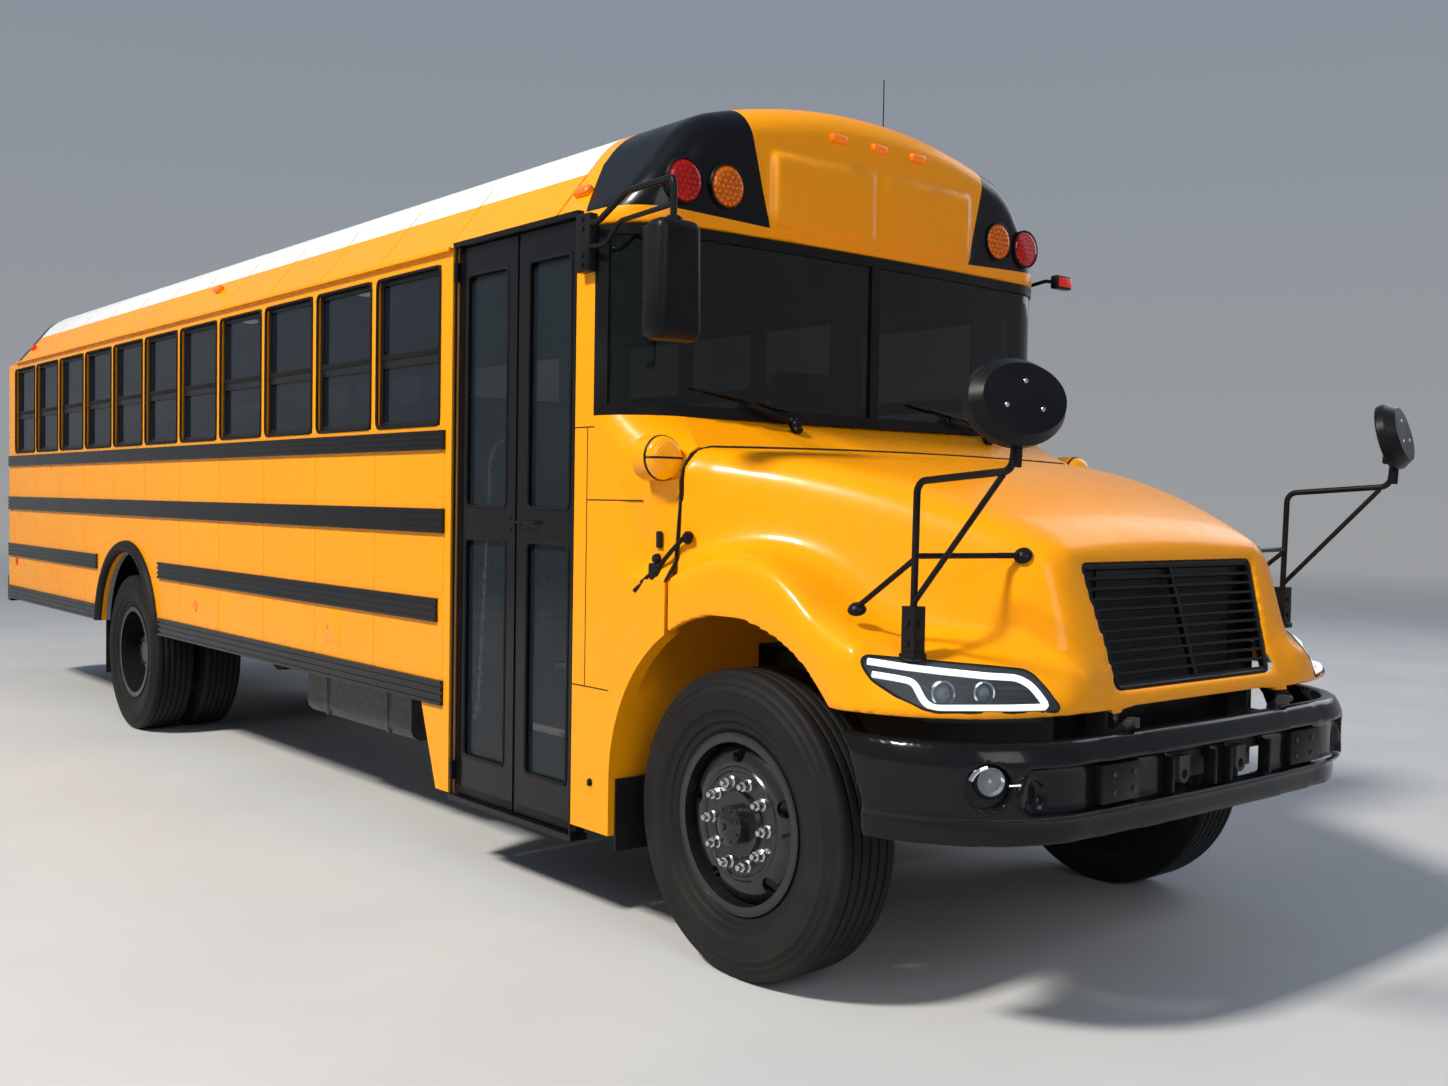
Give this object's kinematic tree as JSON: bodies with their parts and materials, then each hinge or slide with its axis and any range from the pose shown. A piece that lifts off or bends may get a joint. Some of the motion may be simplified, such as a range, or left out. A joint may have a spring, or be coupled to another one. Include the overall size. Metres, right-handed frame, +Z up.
{
  "type": "school bus",
  "caption": "Bonneted school bus with a tilting hood, steered and rolling wheels, a folding entrance door, a rear emergency door, roof hatches and a swing-out stop arm.",
  "frame": {"origin": "on the ground, under the middle of the bus's length and width", "axes": "+Z up, +Y along the bus towards its rear, +X towards the driver's side (the bus's left)"},
  "size_m": [2.864, 10.9875, 3.449],
  "materials": {
    "body_paint": "gloss",
    "roof_white": "gloss",
    "black_paint": "gloss",
    "hood_moulding": "gloss",
    "trim_black": "matt",
    "arch_rubber": "matt",
    "frame_steel": "satin",
    "axle_iron": "matt",
    "wheel_steel": "satin",
    "tyre": "matt",
    "glass": "clear",
    "lamp_clear": "gloss",
    "lamp_amber": "gloss",
    "lamp_red": "gloss",
    "sash_alloy": "brushed",
    "floor_grey": "satin",
    "seat_vinyl": "satin",
    "seat_steel": "satin",
    "exhaust_steel": "satin",
    "dash_plastic": "matt"
  },
  "bodies": {
    "coach": {"side_wall_right": "body_paint", "side_wall_left": "body_paint", "roof": "roof_white", "roof_coves": "body_paint", "front_cap": "body_paint", "rear_cap": "body_paint", "rear_wall": "body_paint", "front_cowl": "body_paint", "windshield_frame": "trim_black", "windshield": "glass", "floor": "floor_grey", "entrance_steps": "floor_grey", "window_sashes": "sash_alloy", "window_glass": "glass", "rub_rails": "black_paint", "wheel_arch_trims": "arch_rubber", "front_bumper": "black_paint", "rear_bumper": "black_paint", "chassis_frame": "frame_steel", "front_axle": "axle_iron", "rear_axle": "axle_iron", "engine": "axle_iron", "exhaust": "exhaust_steel", "fuel_tank": "frame_steel", "passenger_seats": "seat_vinyl", "seat_frames": "seat_steel", "driver_seat": "seat_vinyl", "dashboard": "dash_plastic", "rearview_mirrors": "trim_black", "warning_lamps": "lamp_red", "marker_lamps": "lamp_amber", "mud_flaps": "arch_rubber", "wipers": "trim_black", "antenna": "trim_black", "door_frame": "black_paint", "stop_arm_bracket": "black_paint"},
    "hood": {"hood": "hood_moulding", "grille": "trim_black", "headlamps": "lamp_clear", "crossview_mirrors": "trim_black"},
    "knuckle_right": {"knuckle_right": "axle_iron"},
    "knuckle_left": {"knuckle_left": "axle_iron"},
    "wheel_front_right": {"front_tyre_right": "tyre", "front_rim_right": "wheel_steel"},
    "wheel_front_left": {"front_tyre_left": "tyre", "front_rim_left": "wheel_steel"},
    "wheels_rear_right": {"rear_tyres_right": "tyre", "rear_rims_right": "wheel_steel"},
    "wheels_rear_left": {"rear_tyres_left": "tyre", "rear_rims_left": "wheel_steel"},
    "door_leaf_front": {"entrance_leaf_front": "black_paint", "entrance_glass_front": "glass"},
    "door_leaf_rear": {"entrance_leaf_rear": "black_paint", "entrance_glass_rear": "glass"},
    "rear_door": {"rear_door": "body_paint", "rear_door_glass": "glass"},
    "stop_arm": {"stop_arm": "lamp_red"},
    "hatch_front": {"roof_hatch_front": "roof_white"},
    "hatch_rear": {"roof_hatch_rear": "roof_white"}
  },
  "joints": [
    {"name": "hood_tilt", "type": "hinge", "parent": "coach", "child": "hood", "pos_m": [0, -5.36825, 0.952], "axis": [1, 0, 0], "range_deg": [0, 60]},
    {"name": "steer_right", "type": "hinge", "parent": "coach", "child": "knuckle_right", "pos_m": [-0.86, -4.28625, 0.525], "axis": [0, 0, 1], "range_deg": [-35, 35]},
    {"name": "steer_left", "type": "hinge", "parent": "coach", "child": "knuckle_left", "pos_m": [0.86, -4.28625, 0.525], "axis": [0, 0, 1], "range_deg": [-35, 35]},
    {"name": "spin_front_right", "type": "hinge", "parent": "knuckle_right", "child": "wheel_front_right", "pos_m": [-1.03, -4.28625, 0.525], "axis": [1, 0, 0], "continuous": true},
    {"name": "spin_front_left", "type": "hinge", "parent": "knuckle_left", "child": "wheel_front_left", "pos_m": [1.03, -4.28625, 0.525], "axis": [1, 0, 0], "continuous": true},
    {"name": "spin_rear_right", "type": "hinge", "parent": "coach", "child": "wheels_rear_right", "pos_m": [-0.9, 2.05075, 0.525], "axis": [1, 0, 0], "continuous": true},
    {"name": "spin_rear_left", "type": "hinge", "parent": "coach", "child": "wheels_rear_left", "pos_m": [0.9, 2.05075, 0.525], "axis": [1, 0, 0], "continuous": true},
    {"name": "entrance_front_swing", "type": "hinge", "parent": "coach", "child": "door_leaf_front", "pos_m": [-1.21, -3.38425, 1.5], "axis": [0, 0, 1], "range_deg": [0, 90]},
    {"name": "entrance_rear_swing", "type": "hinge", "parent": "coach", "child": "door_leaf_rear", "pos_m": [-1.21, -2.45225, 1.5], "axis": [0, 0, 1], "range_deg": [-90, 0]},
    {"name": "rear_door_swing", "type": "hinge", "parent": "coach", "child": "rear_door", "pos_m": [-0.486, 5.28975, 1.85], "axis": [0, 0, 1], "range_deg": [0, 110]},
    {"name": "stop_arm_swing", "type": "hinge", "parent": "coach", "child": "stop_arm", "pos_m": [1.259, -2.03625, 1.7], "axis": [0, 0, -1], "range_deg": [0, 90]},
    {"name": "hatch_front_lift", "type": "hinge", "parent": "coach", "child": "hatch_front", "pos_m": [0, -1.29125, 3.245], "axis": [1, 0, 0], "range_deg": [0, 45]},
    {"name": "hatch_rear_lift", "type": "hinge", "parent": "coach", "child": "hatch_rear", "pos_m": [0, 2.75875, 3.245], "axis": [1, 0, 0], "range_deg": [0, 45]}
  ],
  "couplings": [
    {"joint": "steer_left", "follows": "steer_right", "ratio": 1},
    {"joint": "entrance_rear_swing", "follows": "entrance_front_swing", "ratio": -1}
  ]
}
